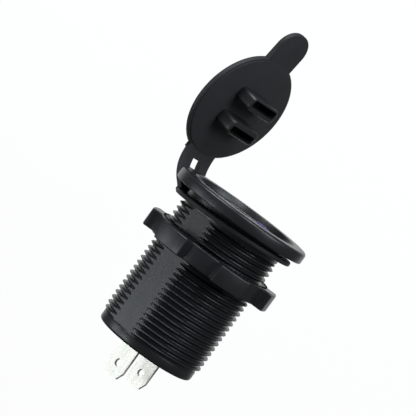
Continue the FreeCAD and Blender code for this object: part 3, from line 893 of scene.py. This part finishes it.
    def add_plug(self, skin: Skin, x: float) -> None:
        """One plug on the lid's inner face, with a hollow that takes the port's tongue."""
        tip = self.lid_low - self.plug_reach
        shift = math.copysign(self.tongue_offset, x) + self.hollow_shift
        outer = box_outline((x, 0.0), *self.plug_size)
        hollow = box_outline((x + shift, 0.0), *self.plug_hollow)
        loops = [at_height(outer, z) for z in (self.lid_low + self.sink, tip + self.plug_edge)]
        loops += [at_height(inset(outer, depth), tip + rise) for depth, rise in self.plug_edge_steps]
        loops += [at_height(hollow, z) for z in (tip, self.lid_low - self.hollow_floor)]
        numbers = skin.loft(loops)
        skin.face(numbers[-1])


@dataclass
class Insides:
    """Pieces that keep their CAD solids: ports, blades, lens, cover and electronics."""

    finishes: dict[str, Finish] = field(default_factory=lambda: {
        "indicator_lens": LENS_BLUE_PAINTED_GLOW,
        "rear_cover": MOULDED_BLACK,
        "circuit_board": BOARD_GREEN,
        "power_inductor": PART_DARK,
        "input_capacitor": CAN_BRIGHT,
        "output_capacitor": CAN_BRIGHT,
        "controller_chip": PART_DARK,
        "rectifier_diode": PART_DARK,
        "indicator_led": LED_MILK,
        "chip_components": PART_PALE,
        "blade_positive": BLADE_TIN,
        "blade_negative": BLADE_TIN,
        "usb_shell_a": SHELL_STEEL,
        "usb_shell_b": SHELL_STEEL,
        "usb_insulator_a": TONGUE_BLACK,
        "usb_insulator_b": TONGUE_BLACK,
        "usb_contacts_a": CONTACT_GILT,
        "usb_contacts_b": CONTACT_GILT,
    })

    def dress(self) -> None:
        """Give every kept solid its finish."""
        for name, finish in self.finishes.items():
            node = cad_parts[name]
            node.data.materials.clear()
            node.data.materials.append(finish.material())
            log.info("%s: %s", name, finish.name)


# Studio


@dataclass(frozen=True)
class Lamp:
    """A square soft lamp: its place in millimetres along the camera's axes, its side in millimetres, its watts."""

    name: str
    place: tuple[float, float, float]
    side: float
    power: float


@dataclass
class Studio:
    """Camera, lamps, backdrop and surroundings."""

    turn: float = 37.3
    rise: float = 4.4
    roll: float = 36.0
    distance: float = 570.0
    focal: float = 202.2
    sensor: float = 36.0
    clip: tuple[float, float] = (0.01, 20.0)
    target: tuple[float, float, float] = (-6.09, -4.64, -2.1)
    backdrop_behind: float = 85.0
    backdrop_half: float = 78.0
    paper_grey: float = 0.9
    paper_white: float = 0.93
    ambient: float = 0.04
    mirrored_share: float = 0.12
    lamp_colour: Colour = (0.9, 0.96, 1.0)
    lamps: Sequence[Lamp] = (
        Lamp("key", (40, 430, 120), 220, 1.7),
        Lamp("left", (-395, 136, 70), 160, 0.36),
        Lamp("right", (379, -53, 238), 200, 1.0),
        Lamp("front", (257, 184, 250), 120, 0.7),
        Lamp("low", (-345, 35, 240), 100, 0.4),
    )

    def axes(self) -> tuple[Vector, Vector, Vector]:
        """Right, up and backward directions of the camera."""
        a, e, roll = (math.radians(v) for v in (self.turn, self.rise, self.roll))
        level = Vector((math.cos(a), math.sin(a), 0.0))
        back = Vector((math.sin(a) * math.cos(e), -math.cos(a) * math.cos(e), math.sin(e)))
        rise = back.cross(level)
        right = math.cos(roll) * level + math.sin(roll) * rise
        up = -math.sin(roll) * level + math.cos(roll) * rise
        return right, up, back

    def spot(self, right: float, up: float, back: float) -> Vector:
        """A place given in millimetres along the camera's axes from its target."""
        r, u, b = self.axes()
        return (Vector(self.target) + r * right + u * up + b * back) * MM

    def pose(self, place: Vector) -> Matrix:
        """A frame at a place whose axes are the camera's."""
        r, u, b = self.axes()
        return Matrix(((r.x, u.x, b.x, place.x), (r.y, u.y, b.y, place.y), (r.z, u.z, b.z, place.z), (0, 0, 0, 1)))

    def build(self) -> None:
        """Set up all that isn't the object."""
        scene = bpy.context.scene
        scene.view_settings.view_transform = "Standard"
        lens = bpy.data.cameras.new("camera")
        lens.sensor_width = self.sensor
        lens.lens = self.focal
        lens.clip_start, lens.clip_end = self.clip
        camera = bpy.data.objects.new("camera", lens)
        camera.matrix_world = self.pose(self.spot(0, 0, self.distance))
        scene.collection.objects.link(camera)
        scene.camera = camera
        self.add_world()
        self.add_backdrop()
        for lamp in self.lamps:
            self.add_lamp(lamp)

    def add_lamp(self, lamp: Lamp) -> None:
        """Hang up a lamp that faces the object."""
        data = bpy.data.lights.new(lamp.name, "AREA")
        data.shape = "SQUARE"
        data.size = lamp.side * MM
        data.energy = lamp.power
        data.color = self.lamp_colour
        made = bpy.data.objects.new(lamp.name, data)
        at = self.spot(*lamp.place)
        aim = self.spot(0, 0, 0) - at
        made.matrix_world = Matrix.Translation(at) @ aim.to_track_quat("-Z", "Y").to_matrix().to_4x4()
        bpy.context.scene.collection.objects.link(made)

    def add_world(self) -> None:
        """Dim even surroundings, white to the camera and brighter to mirrored and transmitted rays."""
        world = bpy.data.worlds.new("surroundings")
        bpy.context.scene.world = world
        shading = Shading(world)
        mirrored = shading.ray("Is Glossy Ray") + shading.ray("Is Transmission Ray")
        shown = shading.ray("Is Camera Ray") + mirrored * self.mirrored_share
        strength = self.ambient + shown * (1 - self.ambient)
        light = shading.node("ShaderNodeBackground", None, {"Color": (1, 1, 1, 1), "Strength": strength})
        shading.node("ShaderNodeOutputWorld", None, {"Surface": light})

    def add_backdrop(self) -> None:
        """A white sheet behind the object that keeps its faint shadow and is clear from behind."""
        half = self.backdrop_half * MM
        mesh = bpy.data.meshes.new("backdrop")
        corners = [(-half, -half, 0), (half, -half, 0), (half, half, 0), (-half, half, 0)]
        mesh.from_pydata(corners, [], [(0, 1, 2, 3)])
        sheet = bpy.data.objects.new("backdrop", mesh)
        sheet.matrix_world = self.pose(self.spot(0, 0, -self.backdrop_behind))
        bpy.context.scene.collection.objects.link(sheet)
        paper = bpy.data.materials.new("backdrop_paper")
        shading = Shading(paper)
        grey = (self.paper_grey, self.paper_grey, self.paper_grey, 1)
        matt = shading.node("ShaderNodeBsdfDiffuse", None, {"Color": grey}, "BSDF")
        white = shading.node("ShaderNodeEmission", None, {"Color": (1, 1, 1, 1), "Strength": 1.0}, "Emission")
        mirrored = shading.ray("Is Glossy Ray") + shading.ray("Is Transmission Ray")
        shown = (shading.ray("Is Camera Ray") + mirrored) * self.paper_white
        front = shading.node("ShaderNodeMixShader", None, {0: shown, 1: matt, 2: white})
        clear = shading.node("ShaderNodeBsdfTransparent", None, None, "BSDF")
        behind = shading.node("ShaderNodeNewGeometry", None, None, "Backfacing")
        both = shading.node("ShaderNodeMixShader", None, {0: behind, 1: front, 2: clear})
        shading.node("ShaderNodeOutputMaterial", None, {"Surface": both})
        mesh.materials.append(paper)


def main() -> None:
    """Build the part and its studio."""
    logging.basicConfig(level=logging.INFO, format="%(message)s")
    Housing().build()
    Nut().build()
    Cap().build()
    Insides().dress()
    Studio().build()


if __name__ == "__main__":
    main()
